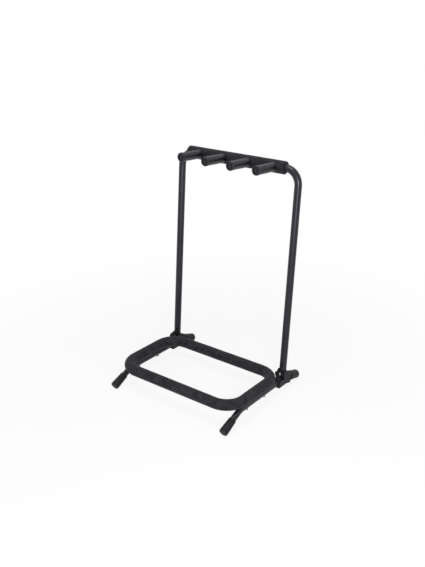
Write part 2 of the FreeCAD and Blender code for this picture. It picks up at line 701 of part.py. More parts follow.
def place_peg(body, step):
    """Set a piece that is made along a peg, from the cross bar's axis, in its place."""
    across = f"{step} * Sizes.peg_spacing"
    place(body, across, "Places.neck_y", "Places.neck_z", "90 - Sizes.frame_lean", Vector(1, 0, 0))


def peg_sleeve(label, step, radii, cope):
    """Round sleeve along a peg, cut to the curve of what it butts on."""
    body = new_body(label)
    pad(body, circles(body, "XY_Plane", radii), "Places.peg_tip", symmetric=False)
    pocket(body, circles(body, "YZ_Plane", (cope,)))
    place_peg(body, step)
    return body


def peg_tube(index, step):
    """Steel stub welded to the cross bar."""
    radii = ("Sizes.peg_tube_od / 2", "Places.peg_bore_radius")
    return peg_sleeve(f"neck_peg_tube_{index}", step, radii, "Places.frame_seat_radius")


def peg_foam(index, step):
    """Foam sleeve on a stub, butted on the cross bar's foam."""
    radii = ("Sizes.peg_foam_od / 2", "Places.peg_seat_radius")
    cope = "Places.neck_foam_radius + Sizes.seat_gap"
    return peg_sleeve(f"neck_peg_foam_{index}", step, radii, cope)


def peg_cap(index, step):
    """Round end cap with a ring-shaped groove in its face and a stem in the stub."""
    body = new_body(f"neck_peg_cap_{index}")
    rim = "Sizes.peg_cap_od / 2"
    stem = "Places.peg_bore_radius - Sizes.seat_gap"
    groove = "Sizes.peg_cap_groove_od / 2"
    groove_floor = "Sizes.peg_reach - Sizes.peg_cap_groove"
    boss = "Sizes.peg_cap_boss_od / 2"
    boss_face = "Sizes.peg_reach - Sizes.peg_cap_boss_drop"
    corners = (
        ("0", "Places.peg_tip - Sizes.peg_cap_stem"),
        (stem, "Places.peg_tip - Sizes.peg_cap_stem"),
        (stem, "Places.peg_tip"),
        (rim, "Places.peg_tip"),
        (rim, "Sizes.peg_reach"),
        (groove, "Sizes.peg_reach"),
        (groove, groove_floor),
        (boss, groove_floor),
        (boss, boss_face),
        ("0", boss_face),
    )
    turned = revolve(body, corners)
    round_rim(body, turned, rim, "Sizes.peg_reach", "Sizes.peg_cap_round")
    place_peg(body, step)
    return body


def upright_plug(side, sign):
    """Plug in an upright's lower end, which stops the frame on the leg."""
    body = new_body(f"{side}_upright_plug")
    low = "-Places.frame_drop - Sizes.plug_flange"
    end = "-Places.frame_drop"
    top = "Sizes.plug_stem - Places.frame_drop"
    flange = "Places.frame_radius"
    stem = "Places.stem_radius"
    corners = (("0", low), (flange, low), (flange, end), (stem, end), (stem, top), ("0", top))
    round_rim(body, revolve(body, corners), flange, low, "Sizes.plug_round")
    place_frame(body, on_side(sign))
    return body


def hinge_fork(side, sign):
    """Fork on the front of an upright, astride the bracket's ear, its upper edge a rising gusset."""
    body = new_body(f"{side}_hinge_fork")
    reach = "Sizes.cheek_radius"
    rise = "Sizes.fork_slope"
    upright = "Places.pivot_ahead"
    top = f"{reach} / cos({rise}) + ({upright} - Places.frame_radius) * tan({rise})"
    outline = (
        ("0", f"-{reach}"),
        (upright, f"-{reach}"),
        (upright, top),
        (f"{upright} - Places.frame_radius", top),
        (f"-{reach} * sin({rise})", f"{reach} * cos({rise})"),
        ("0", "0"),
    )
    pad(body, polygon(body, "YZ_Plane", outline), "Places.fork_width")
    pad(body, circles(body, "YZ_Plane", (reach,)), "Places.fork_width")
    slot_low = ("-Places.fork_slot", f"-2 * {reach}")
    slot_high = ("Places.fork_slot", "Sizes.ear_radius + Sizes.slot_room")
    pocket(body, rectangle(body, "XY_Plane", slot_low, slot_high))
    pocket(body, circles(body, "XY_Plane", ("Places.frame_seat_radius",), "0", "Places.pivot_ahead"))
    pocket(body, circles(body, "YZ_Plane", ("Sizes.pivot_bolt_od / 2 + Sizes.seat_gap",)))
    place_frame(body, on_side(sign), "Places.pivot_y", "Places.pivot_z")
    return body


def on_pivot(thing, sign, offset="0"):
    """Set a turned piece on the fold axis, its top outwards, moved out by an offset."""
    across = f"{on_side(sign)} + {sign} * ({offset})"
    place(thing, across, "Places.pivot_y", "Places.pivot_z", "90", Vector(0, sign, 0))


def hinge_bolt(side, sign):
    """Domed bolt through fork and ear, head outwards, with a hexagon socket."""
    body = new_body(f"{side}_hinge_bolt")
    shank = "Sizes.pivot_bolt_od / 2"
    head = "Sizes.pivot_head_od / 2"
    seat = "Places.fork_width / 2 + Sizes.washer"
    top = f"{seat} + Sizes.pivot_head"
    low = f"-({seat}) - Sizes.pivot_nut - Sizes.pivot_tail"
    turned = revolve(body, (("0", low), (shank, low), (shank, seat), (head, seat), (head, top), ("0", top)))
    round_rim(body, turned, head, top, "Sizes.pivot_head_round")
    corner = "Sizes.pivot_socket / 2"
    corners = [(f"{corner} * cos({turn})", f"{corner} * sin({turn})") for turn in SOCKET_TURNS]
    socket = polygon(body, "XY_Plane", corners)
    socket.setExpression("AttachmentOffset.Base.z", top)
    pocket(body, socket, "Sizes.pivot_socket_depth")
    on_pivot(body, sign)
    return body


def hinge_nut(side, sign):
    """Hexagon nut on the inner end of a pivot bolt."""
    prism = doc.addObject("Part::Prism", f"{side}_hinge_nut_blank")
    prism.Polygon = HEXAGON
    bind(prism, Circumradius="Sizes.pivot_nut_od / 2", Height="Sizes.pivot_nut")
    bore = doc.addObject("Part::Cylinder", f"{side}_hinge_nut_bore")
    bind(bore, Radius="Sizes.pivot_bolt_od / 2 + Sizes.seat_gap", Height="Sizes.pivot_nut")
    inner = "-Places.fork_width / 2 - Sizes.washer - Sizes.pivot_nut"
    for thing in (prism, bore):
        on_pivot(thing, sign, inner)
    return cut(f"{side}_hinge_nut", prism, [bore])


def pivot_washer(name, sign, offset):
    """Flat washer on the pivot bolt."""
    body = new_body(f"pivot_washer_{name}")
    radii = ("Sizes.washer_od / 2", "Sizes.pivot_bolt_od / 2 + Sizes.seat_gap")
    pad(body, circles(body, "XY_Plane", radii), "Sizes.washer", symmetric=False)
    on_pivot(body, sign, offset)
    return body


def hinge_washers():
    """Washers under the head and the nut of each pivot bolt."""
    members = []
    for side, sign in SIDES:
        members.append(pivot_washer(f"{side}_outer", sign, "Places.fork_width / 2"))
        members.append(pivot_washer(f"{side}_inner", sign, "-Places.fork_width / 2 - Sizes.washer"))
    return group("hinge_washers", members)


def base_pieces():
    """Everything that stands on the floor."""
    pieces = [ring_tube(), ring_foam()]
    bolts = []
    inserts = []
    for side, sign in SIDES:
        pieces.append(leg_tube(side, sign))
        pieces.append(hinge_bracket(side, sign))
        for end, way in ENDS:
            pieces.append(foot(end, way, side, sign))
            bolts.append(ring_bolt(f"{end}_{side}", sign, way))
            inserts.append(ring_insert(f"{end}_{side}", sign, way))
    pieces.append(group("ring_bolts", bolts))
    pieces.append(group("ring_insert_nuts", inserts))
    return pieces


def back_frame_pieces():
    """Everything that folds."""
    pieces = [back_frame_tube(), neck_rest_foam()]
    for index, step in enumerate(PEGS, start=1):
        pieces += [peg_tube(index, step), peg_foam(index, step), peg_cap(index, step)]
    for side, sign in SIDES:
        pieces += [hinge_fork(side, sign), hinge_bolt(side, sign), hinge_nut(side, sign)]
        pieces.append(upright_plug(side, sign))
    pieces.append(hinge_washers())
    return pieces


def export(pieces):
    """Check the whole document and write each piece's solid."""
    doc.recompute()
    for item in doc.Objects:
        if "Invalid" in item.State or "Error" in item.State:
            raise RuntimeError(f"{item.Label} failed: {item.State}")
    for piece in pieces:
        if piece.Shape.isNull() or not piece.Shape.isValid():
            raise RuntimeError(f"{piece.Label} has no valid shape")
    os.makedirs("parts", exist_ok=True)
    for piece in pieces:
        piece.Shape.exportStep(f"parts/{piece.Label}.step")
        box = piece.Shape.BoundBox
        print(piece.Label, len(piece.Shape.Solids), round(piece.Shape.Volume), box)


export(base_pieces() + back_frame_pieces())
print("fold pivot", number("Places.pivot_y"), number("Places.pivot_z"))
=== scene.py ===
"""Looks of a folding floor stand for three guitars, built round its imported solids.

Lengths are in metres in the frame of the solids: the origin is on the floor and the front is towards -Y.
"""

import json
import logging
import math
from collections.abc import Callable
from dataclasses import dataclass
from enum import Enum
from functools import partial
from typing import Any

import bmesh
import bpy
from mathutils import Matrix, Vector, noise

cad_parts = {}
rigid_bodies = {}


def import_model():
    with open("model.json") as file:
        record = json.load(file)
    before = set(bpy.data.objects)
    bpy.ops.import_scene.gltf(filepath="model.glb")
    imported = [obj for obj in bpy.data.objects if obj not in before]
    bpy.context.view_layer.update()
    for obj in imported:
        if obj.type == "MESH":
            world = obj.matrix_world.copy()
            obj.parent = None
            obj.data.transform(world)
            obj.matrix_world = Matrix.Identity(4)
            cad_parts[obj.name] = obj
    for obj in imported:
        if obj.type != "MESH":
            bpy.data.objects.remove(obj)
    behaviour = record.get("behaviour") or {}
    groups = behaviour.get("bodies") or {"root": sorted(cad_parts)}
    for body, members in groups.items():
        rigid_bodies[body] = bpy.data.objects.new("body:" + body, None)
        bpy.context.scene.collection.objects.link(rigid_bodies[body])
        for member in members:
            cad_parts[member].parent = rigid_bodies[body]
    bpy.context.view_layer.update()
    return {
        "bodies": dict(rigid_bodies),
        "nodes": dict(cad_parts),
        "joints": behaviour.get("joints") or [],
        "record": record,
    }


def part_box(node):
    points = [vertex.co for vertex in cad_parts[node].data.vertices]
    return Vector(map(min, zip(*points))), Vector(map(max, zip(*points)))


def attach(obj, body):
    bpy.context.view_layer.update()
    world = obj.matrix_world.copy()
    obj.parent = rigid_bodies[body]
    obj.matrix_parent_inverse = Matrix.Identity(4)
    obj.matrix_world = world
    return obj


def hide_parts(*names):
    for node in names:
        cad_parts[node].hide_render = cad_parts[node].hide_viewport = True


log = logging.getLogger("guitar_stand")

Colour = tuple[float, float, float, float]
Rows = list[list[Vector]]

WHITE: Colour = (1.0, 1.0, 1.0, 1.0)

# Lean of the back frame, distance of legs and uprights from the middle, and radius of the back frame's tube.
FRAME_LEAN = math.radians(6.1)
SIDE_X = 0.211
FRAME_RADIUS = 0.011

# Places of sockets whose names stand more than once on the Mix node and the Random Value node.
MIX_FIRST = 6
MIX_SECOND = 7
MIX_RESULT = 2
RANDOM_LEAST = 2
RANDOM_MOST = 3
RANDOM_RESULT = 1


class Body(Enum):
    """Bodies of the part that a piece can ride on."""

    BASE = "base"
    BACK_FRAME = "back_frame"


class Slot(Enum):
    """Finishes that the part's record names."""

    BLACK_STEEL = "black_steel"
    FOAM = "foam"
    FOOT_RUBBER = "foot_rubber"
    CAP_PLASTIC = "cap_plastic"
    BRIGHT_STEEL = "bright_steel"


class Relief(Enum):
    """Kinds of fine surface relief."""

    PEEL = "powder_peel"
    PORES = "foam_pores"


class Wiring:
    """A node tree whose nodes are added, set and wired in one call."""

    def __init__(self, tree: bpy.types.NodeTree) -> None:
        """Take over an empty tree."""
        self.tree = tree

    def feed(self, socket: bpy.types.NodeSocket, value: Any) -> None:
        """Set an input, or wire an output to it.

        Args:
            socket: the input.
            value: a plain value, or the output of another node.
        """
        if isinstance(value, bpy.types.NodeSocket):
            self.tree.links.new(value, socket)
        else:
            socket.default_value = value

    def add(self, kind: str, inputs: dict[Any, Any] | None = None, **settings: Any) -> bpy.types.Node:
        """Add a node.

        Args:
            kind: Blender's name of the node's type.
            inputs: values or outputs by the input's name or index.
            settings: properties of the node.

        Returns:
            The new node.
        """
        node = self.tree.nodes.new(kind)
        for name, value in settings.items():
            setattr(node, name, value)
        for key, value in (inputs or {}).items():
            self.feed(node.inputs[key], value)
        return node

    def math(self, operation: str, *values: Any, clamp: bool = False) -> bpy.types.NodeSocket:
        """Add a Math node and return its result."""
        node = self.add("ShaderNodeMath", dict(enumerate(values)), operation=operation, use_clamp=clamp)
        return node.outputs[0]

    def vector(self, operation: str, *values: Any) -> bpy.types.NodeSocket:
        """Add a Vector Math node and return its vector."""
        return self.add("ShaderNodeVectorMath", dict(enumerate(values)), operation=operation).outputs[0]

    def ramp(self, value: Any, low: float, high: float, start: float, end: float) -> bpy.types.NodeSocket:
        """Map a value from low..high smoothly to start..end and return it."""
        inputs = {"Value": value, "From Min": low, "From Max": high, "To Min": start, "To Max": end}
        return self.add("ShaderNodeMapRange", inputs, interpolation_type="SMOOTHSTEP").outputs[0]

    def between(self, share: Any, first: Any, second: Any) -> bpy.types.NodeSocket:
        """Mix two colours by a share and return the result."""
        inputs = {0: share, MIX_FIRST: first, MIX_SECOND: second}
        return self.add("ShaderNodeMix", inputs, data_type="RGBA").outputs[MIX_RESULT]


class EffectGroup(Wiring):
    """A shader node group with named inputs, shared by several finishes."""

    def __init__(self, name: str, output: str, **inputs: str) -> None:
        """Make the group's sockets.

        Args:
            name: the group's name.
            output: the name of the one value that it puts out.
            inputs: socket types by the input's name.
        """
        super().__init__(bpy.data.node_groups.new(name, "ShaderNodeTree"))
        face = self.tree.interface
        for label, kind in inputs.items():
            face.new_socket(label, in_out="INPUT", socket_type=kind)
        face.new_socket(output, in_out="OUTPUT", socket_type="NodeSocketFloat")
        self.source = self.add("NodeGroupInput").outputs
        self.sink = self.add("NodeGroupOutput").inputs[output]

    def place(self, wiring: Wiring, **values: Any) -> bpy.types.NodeSocket:
        """Put the group in a material with its own values and return its output."""
        return wiring.add("ShaderNodeGroup", values, node_tree=self.tree).outputs[0]


class Effects:
    """The shared shader groups, each built once."""

    streak_shape: tuple[float, float, float] = (1.0, 1.0, 0.06)
    streak_edge: tuple[float, float] = (0.56, 0.7)
    patch_scale: float = 14.0
    patch_edge: tuple[float, float] = (0.45, 0.7)
    # One mask makes upward faces lighter: partly thin dust, partly painted light from above.
    dust_and_top_light_slope: tuple[float, float] = (0.35, 1.0)
    dust_and_top_light_scale: float = 90.0
    dust_and_top_light_edge: tuple[float, float] = (0.35, 0.75)
    dust_and_top_light_least: float = 0.2
    cell_height: float = 0.6
    swell_scale: float = 0.3

    def __init__(self) -> None:
        """Build every group."""
        self.mottle = self.build_mottle()
        self.scuffs = self.build_scuffs()
        self.dust_and_top_light = self.build_dust_and_top_light()
        self.reliefs = {Relief.PEEL: self.build_peel(), Relief.PORES: self.build_pores()}

    def build_mottle(self) -> EffectGroup:
        """Soft cloudy patches from 0 to 1.

        Returns:
            The group.
        """
        group = EffectGroup(
            "mottle", "Mask", Vector="NodeSocketVector", Scale="NodeSocketFloat", Contrast="NodeSocketFloat"
        )
        inputs = {"Vector": group.source["Vector"], "Scale": group.source["Scale"], "Detail": 5.0}
        cloud = group.add("ShaderNodeTexNoise", inputs).outputs[0]
        spread = group.math("MULTIPLY", group.math("SUBTRACT", cloud, 0.5), group.source["Contrast"])
        group.feed(group.sink, group.math("ADD", spread, 0.5, clamp=True))
        return group

    def build_scuffs(self) -> EffectGroup:
        """Fine rubbed streaks along a tube's length, in patches.

        Returns:
            The group.
        """
        group = EffectGroup(
            "scuffs", "Mask", Vector="NodeSocketVector", Scale="NodeSocketFloat", Amount="NodeSocketFloat"
        )
        drawn = group.vector("MULTIPLY", group.source["Vector"], self.streak_shape)
        inputs = {"Vector": drawn, "Scale": group.source["Scale"], "Detail": 3.0, "Roughness": 0.6}
        streaks = group.add("ShaderNodeTexNoise", inputs).outputs[0]
        lines = group.ramp(streaks, *self.streak_edge, 0.0, 1.0)
        inputs = {"Vector": group.source["Vector"], "Scale": self.patch_scale, "Detail": 2.0}
        cloud = group.add("ShaderNodeTexNoise", inputs).outputs[0]
        patches = group.ramp(cloud, *self.patch_edge, 0.0, 1.0)
        worn = group.math("MULTIPLY", lines, patches)
        group.feed(group.sink, group.math("MULTIPLY", worn, group.source["Amount"], clamp=True))
        return group

    def build_dust_and_top_light(self) -> EffectGroup:
        """Thin settled dust on what faces upwards, together with a painted lightening of those faces that
        stands in for light from above.

        Returns:
            The group.
        """
        group = EffectGroup(
            "dust_and_top_light",
            "Mask",
            Vector="NodeSocketVector",
            Normal="NodeSocketVector",
            Amount="NodeSocketFloat",
        )
        rise = group.add("ShaderNodeSeparateXYZ", {0: group.source["Normal"]}).outputs[2]
        lying = group.ramp(rise, *self.dust_and_top_light_slope, 0.0, 1.0)
        inputs = {
            "Vector": group.source["Vector"],
            "Scale": self.dust_and_top_light_scale,
            "Detail": 6.0,
            "Roughness": 0.7,
        }
        grain = group.add("ShaderNodeTexNoise", inputs).outputs[0]
        specks = group.ramp(grain, *self.dust_and_top_light_edge, self.dust_and_top_light_least, 1.0)
        upward_dust_and_light = group.math("MULTIPLY", lying, specks)
        group.feed(group.sink, group.math("MULTIPLY", upward_dust_and_light, group.source["Amount"], clamp=True))
        return group

    def build_peel(self) -> EffectGroup:
        """Rounded unevenness of a sprayed or moulded skin.

        Returns:
            The group.
        """
        group = EffectGroup("powder_peel", "Height", Vector="NodeSocketVector", Scale="NodeSocketFloat")
        inputs = {
            "Vector": group.source["Vector"],
            "Scale": group.source["Scale"],
            "Detail": 2.0,
            "Roughness": 0.4,
        }
        group.feed(group.sink, group.add("ShaderNodeTexNoise", inputs).outputs[0])
        return group

    def build_pores(self) -> EffectGroup:
        """Small closed cells with a few larger open ones.

        Returns:
            The group.
        """
        group = EffectGroup("foam_pores", "Height", Vector="NodeSocketVector", Scale="NodeSocketFloat")
        inputs = {"Vector": group.source["Vector"], "Scale": group.source["Scale"]}
        cells = group.add("ShaderNodeTexVoronoi", inputs, feature="SMOOTH_F1").outputs["Distance"]
        coarse = group.math("MULTIPLY", group.source["Scale"], self.swell_scale)
        inputs = {"Vector": group.source["Vector"], "Scale": coarse, "Detail": 3.0}
        swell = group.add("ShaderNodeTexNoise", inputs).outputs[0]
        walls = group.math("MULTIPLY", cells, self.cell_height)
        group.feed(group.sink, group.math("ADD", walls, swell))
        return group


@dataclass(frozen=True)
class Finish:
    """A surface finish and how it varies over a piece."""

    name: str
    dark: Colour
    light: Colour
    smooth: float
    rough: float
    relief: Relief
    relief_scale: float
    relief_depth: float
    mottle_scale: float = 40.0
    mottle_contrast: float = 1.8
    scuff_amount: float = 0.0
    scuff_scale: float = 420.0
    scuff_dulling: float = 0.25
    scuff_colour: Colour = (0.09, 0.09, 0.095, 1.0)
    # Lighter grey laid on upward faces: thin dust and a painted lightening from above in one.
    dust_and_top_light_amount: float = 0.0
    dust_and_top_light_dulling: float = 0.3
    dust_and_top_light_colour: Colour = (0.16, 0.16, 0.17, 1.0)
    metallic: float = 0.0
    specular: float = 0.5
    tint: Colour = WHITE
    sheen: float = 0.0
    edge_radius: float = 0.0

    def material(self, effects: Effects) -> bpy.types.Material:
        """Build the material.

        Args:
            effects: the shared shader groups.

        Returns:
            The finished material.
        """
        material = bpy.data.materials.new(self.name)
        material.use_nodes = True
        material.node_tree.nodes.clear()
        wiring = Wiring(material.node_tree)
        place = wiring.add("ShaderNodeTexCoord").outputs
        at = place["Object"]
        patch = effects.mottle.place(
            wiring, Vector=at, Scale=self.mottle_scale, Contrast=self.mottle_contrast
        )
        colour = wiring.between(patch, self.dark, self.light)
        rough = wiring.ramp(patch, 0.0, 1.0, self.smooth, self.rough)
        if self.scuff_amount:
            scuff = effects.scuffs.place(wiring, Vector=at, Scale=self.scuff_scale, Amount=self.scuff_amount)
            colour = wiring.between(scuff, colour, self.scuff_colour)
            rough = wiring.math("ADD", rough, wiring.math("MULTIPLY", scuff, self.scuff_dulling))
        # Upward faces turn lighter grey: partly settled dust, partly painted light from above.
        if self.dust_and_top_light_amount:
            dust_and_top_light = effects.dust_and_top_light.place(wiring, Vector=at, Normal=place["Normal"], Amount=self.dust_and_top_light_amount)
            colour = wiring.between(dust_and_top_light, colour, self.dust_and_top_light_colour)
            duller = wiring.math("MULTIPLY", dust_and_top_light, self.dust_and_top_light_dulling)
            rough = wiring.math("ADD", rough, duller, clamp=True)
        height = effects.reliefs[self.relief].place(wiring, Vector=at, Scale=self.relief_scale)
        bump = wiring.add("ShaderNodeBump", {"Height": height, "Distance": self.relief_depth})
        if self.edge_radius:
            edge = wiring.add("ShaderNodeBevel", {"Radius": self.edge_radius}, samples=4)
            wiring.feed(bump.inputs["Normal"], edge.outputs["Normal"])
        surface = wiring.add(
            "ShaderNodeBsdfPrincipled",
            {
                "Base Color": colour,
                "Roughness": rough,
                "Metallic": self.metallic,
                "Specular IOR Level": self.specular,
                "Specular Tint": self.tint,
                "Sheen Weight": self.sheen,
                "Normal": bump.outputs["Normal"],
            },
        )
        wiring.add("ShaderNodeOutputMaterial", {"Surface": surface.outputs[0]})
        log.info("finish %s", self.name)
        return material


COOL_GLOSS: Colour = (0.86, 0.85, 1.0, 1.0)

POWDER_COAT = Finish(
    name="black_powder_coat",
    dark=(0.0044, 0.0043, 0.0055, 1.0),
    light=(0.0085, 0.0083, 0.0102, 1.0),
    smooth=0.24,
    rough=0.34,
    relief=Relief.PEEL,
    relief_scale=620.0,
    relief_depth=0.00003,
    scuff_amount=0.2,
    scuff_colour=(0.045, 0.045, 0.050, 1.0),
    dust_and_top_light_amount=0.02,
    specular=0.41,
    tint=COOL_GLOSS,
    edge_radius=0.0005,
)
HINGE_COAT = Finish(
    name="hinge_powder_coat",
    dark=(0.0036, 0.0036, 0.0046, 1.0),
    light=(0.0072, 0.0071, 0.0088, 1.0),
    smooth=0.44,
    rough=0.58,
    relief=Relief.PEEL,
    relief_scale=900.0,
    relief_depth=0.00008,
    scuff_amount=0.15,
    scuff_colour=(0.035, 0.035, 0.039, 1.0),
    dust_and_top_light_amount=0.015,
    specular=0.20,
    tint=COOL_GLOSS,
    edge_radius=0.0005,
)
FOAM_SKIN = Finish(
    name="ring_foam_skin",
    dark=(0.0030, 0.0029, 0.0037, 1.0),
    light=(0.0240, 0.0234, 0.0285, 1.0),
    smooth=0.66,
    rough=0.90,
    relief=Relief.PORES,
    relief_scale=520.0,
    relief_depth=0.0006,
    mottle_scale=55.0,
    mottle_contrast=3.4,
    dust_and_top_light_amount=0.03,
    specular=0.22,
    tint=COOL_GLOSS,
    sheen=0.04,
)
PEG_FOAM = Finish(
    name="peg_foam_skin",
    dark=(0.0055, 0.0054, 0.0068, 1.0),
    light=(0.0115, 0.0112, 0.0138, 1.0),
    smooth=0.34,
    rough=0.46,
    relief=Relief.PORES,
    relief_scale=700.0,
    relief_depth=0.0002,
    mottle_scale=95.0,
    dust_and_top_light_amount=0.02,
    specular=0.34,
    tint=COOL_GLOSS,
)
FOOT_RUBBER = Finish(
    name="moulded_rubber",
    dark=(0.0038, 0.0038, 0.0046, 1.0),
    light=(0.0100, 0.0099, 0.0115, 1.0),
    smooth=0.46,
    rough=0.62,
    relief=Relief.PEEL,
    relief_scale=1100.0,
    relief_depth=0.00012,
    mottle_scale=110.0,
    scuff_amount=0.25,
    scuff_colour=(0.040, 0.040, 0.043, 1.0),
    dust_and_top_light_amount=0.02,
    specular=0.22,
    tint=COOL_GLOSS,
)
CAP_PLASTIC = Finish(
    name="moulded_plastic",
    dark=(0.0036, 0.0036, 0.0044, 1.0),
    light=(0.0080, 0.0079, 0.0092, 1.0),
    smooth=0.30,
    rough=0.42,
    relief=Relief.PEEL,
    relief_scale=1500.0,
    relief_depth=0.00005,
    scuff_amount=0.2,
    specular=0.36,
    tint=COOL_GLOSS,
)
ZINC_PLATE = Finish(
    name="bright_zinc",
    dark=(0.24, 0.25, 0.27, 1.0),
    light=(0.36, 0.37, 0.39, 1.0),
    smooth=0.36,
    rough=0.50,
    relief=Relief.PEEL,
    relief_scale=1800.0,
    relief_depth=0.00003,
    mottle_scale=260.0,
    scuff_amount=0.3,
    scuff_colour=(0.28, 0.28, 0.29, 1.0),
    metallic=1.0,
    edge_radius=0.0003,
)


class GeometryTree(Wiring):
    """A Geometry Nodes tree with named inputs, which turns an object into a plain mesh."""

    def __init__(self, name: str, **inputs: str) -> None:
        """Make the tree's sockets.

        Args:
            name: the tree's name.
            inputs: socket types by the input's name.
        """
        super().__init__(bpy.data.node_groups.new(name, "GeometryNodeTree"))
        face = self.tree.interface
        face.new_socket("Geometry", in_out="INPUT", socket_type="NodeSocketGeometry")
        self.keys: dict[str, str] = {}
        for label, kind in (inputs | {"Finish": "NodeSocketMaterial"}).items():
            self.keys[label] = face.new_socket(label, in_out="INPUT", socket_type=kind).identifier
        face.new_socket("Geometry", in_out="OUTPUT", socket_type="NodeSocketGeometry")
        self.source = self.add("NodeGroupInput").outputs

    def close(self, geometry: bpy.types.NodeSocket) -> None:
        """End the tree: shade smooth, realise the instances and set the finish.

        Args:
            geometry: what the tree has made.
        """
        smooth = self.add("GeometryNodeSetShadeSmooth", {"Geometry": geometry}).outputs[0]
        real = self.add("GeometryNodeRealizeInstances", {"Geometry": smooth}).outputs[0]
        inputs = {"Geometry": real, "Material": self.source["Finish"]}
        dressed = self.add("GeometryNodeSetMaterial", inputs).outputs[0]
        self.add("NodeGroupOutput", {"Geometry": dressed})

    def run(self, piece: bpy.types.Object, **values: Any) -> None:
        """Run the tree on a piece and keep the result as its plain mesh.

        Args:
            piece: the object, whose mesh is the tree's geometry.
            values: the inputs by name.
        """
        modifier = piece.modifiers.new(self.tree.name, "NODES")
        modifier.node_group = self.tree
        for label, value in values.items():
            modifier[self.keys[label]] = value
        graph = bpy.context.evaluated_depsgraph_get()
        mesh = bpy.data.meshes.new_from_object(piece.evaluated_get(graph), depsgraph=graph)
        piece.modifiers.remove(modifier)
        piece.data = mesh
        face_outwards(mesh)


def new_piece(name: str, mesh: bpy.types.Mesh | None = None) -> bpy.types.Object:
    """Put a new object in the scene.

    Args:
        name: the piece's name.
        mesh: its mesh, or nothing for an empty one.

    Returns:
        The object, at the origin.
    """
    piece = bpy.data.objects.new(name, mesh or bpy.data.meshes.new(name))
    bpy.context.scene.collection.objects.link(piece)
    return piece


def face_outwards(mesh: bpy.types.Mesh) -> None:
    """Turn the faces of a closed mesh outwards.

    Args:
        mesh: the mesh.
    """
    work = bmesh.new()
    work.from_mesh(mesh)
    bmesh.ops.recalc_face_normals(work, faces=work.faces)
    work.to_mesh(mesh)
    work.free()
    mesh.update()


def skin_rows(name: str, rows: Rows) -> bpy.types.Mesh:
    """Cover rings of points with faces, closed both round the rings and from the last ring to the first.

    Args:
        name: the mesh's name.
        rows: rings with the same number of points.

    Returns:
        The smooth closed mesh.
    """
    work = bmesh.new()
    grid = [[work.verts.new(point) for point in row] for row in rows]
    for index, row in enumerate(grid):
        after = grid[(index + 1) % len(grid)]
        for step in range(len(row)):
            turn = (step + 1) % len(row)
            work.faces.new((row[step], row[turn], after[turn], after[step])).smooth = True
    mesh = bpy.data.meshes.new(name)
    work.to_mesh(mesh)
    work.free()
    face_outwards(mesh)
    return mesh


def move_along_normals(mesh: bpy.types.Mesh, rise: Callable[[Vector], float]) -> None:
    """Move every point of a mesh along its normal.

    Args:
        mesh: the mesh.
        rise: gives how far a point moves outwards.
    """
    normals = [vertex.normal.copy() for vertex in mesh.vertices]
    for vertex, normal in zip(mesh.vertices, normals):
        vertex.co += normal * rise(vertex.co)
    mesh.update()


@dataclass(frozen=True)
class Unevenness:
    """Slight swellings and hollows of a soft sleeve: their depth, their width and a shift of the pattern."""

    depth: float
    patch: float
    shift: float

    def give(self, mesh: bpy.types.Mesh) -> None:
        """Move a sleeve's surface in and out."""
        shift = Vector((self.shift, -self.shift, 2.0 * self.shift))
        move_along_normals(mesh, lambda point: self.depth * noise.noise(point / self.patch + shift))


def leaning(place: Vector) -> Matrix:
    """Frame at a point of the back frame: X across, Y along a peg to the front, Z up along the uprights.

    Args:
        place: the point.

    Returns:
        The matrix from that frame to the part's.
    """
    ahead = Vector((0.0, -math.cos(FRAME_LEAN), math.sin(FRAME_LEAN)))
    rise = Vector((0.0, math.sin(FRAME_LEAN), math.cos(FRAME_LEAN)))
    turn = Matrix((Vector((1.0, 0.0, 0.0)), ahead, rise)).transposed()
    return Matrix.Translation(place) @ turn.to_4x4()


def settle(piece: bpy.types.Object, body: Body, slot: Slot, *nodes: str) -> None:
    """Let a finished piece ride on its body and stand for its solids.

    Args:
        piece: the piece, in its place.
        body: the body that carries it.
        slot: the record's finish; not used.
        nodes: the solids that it stands for.
    """
    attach(piece, body.value)
    if nodes:
        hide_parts(*nodes)
    log.info("piece %s on %s, %d faces", piece.name, body.value, len(piece.data.polygons))


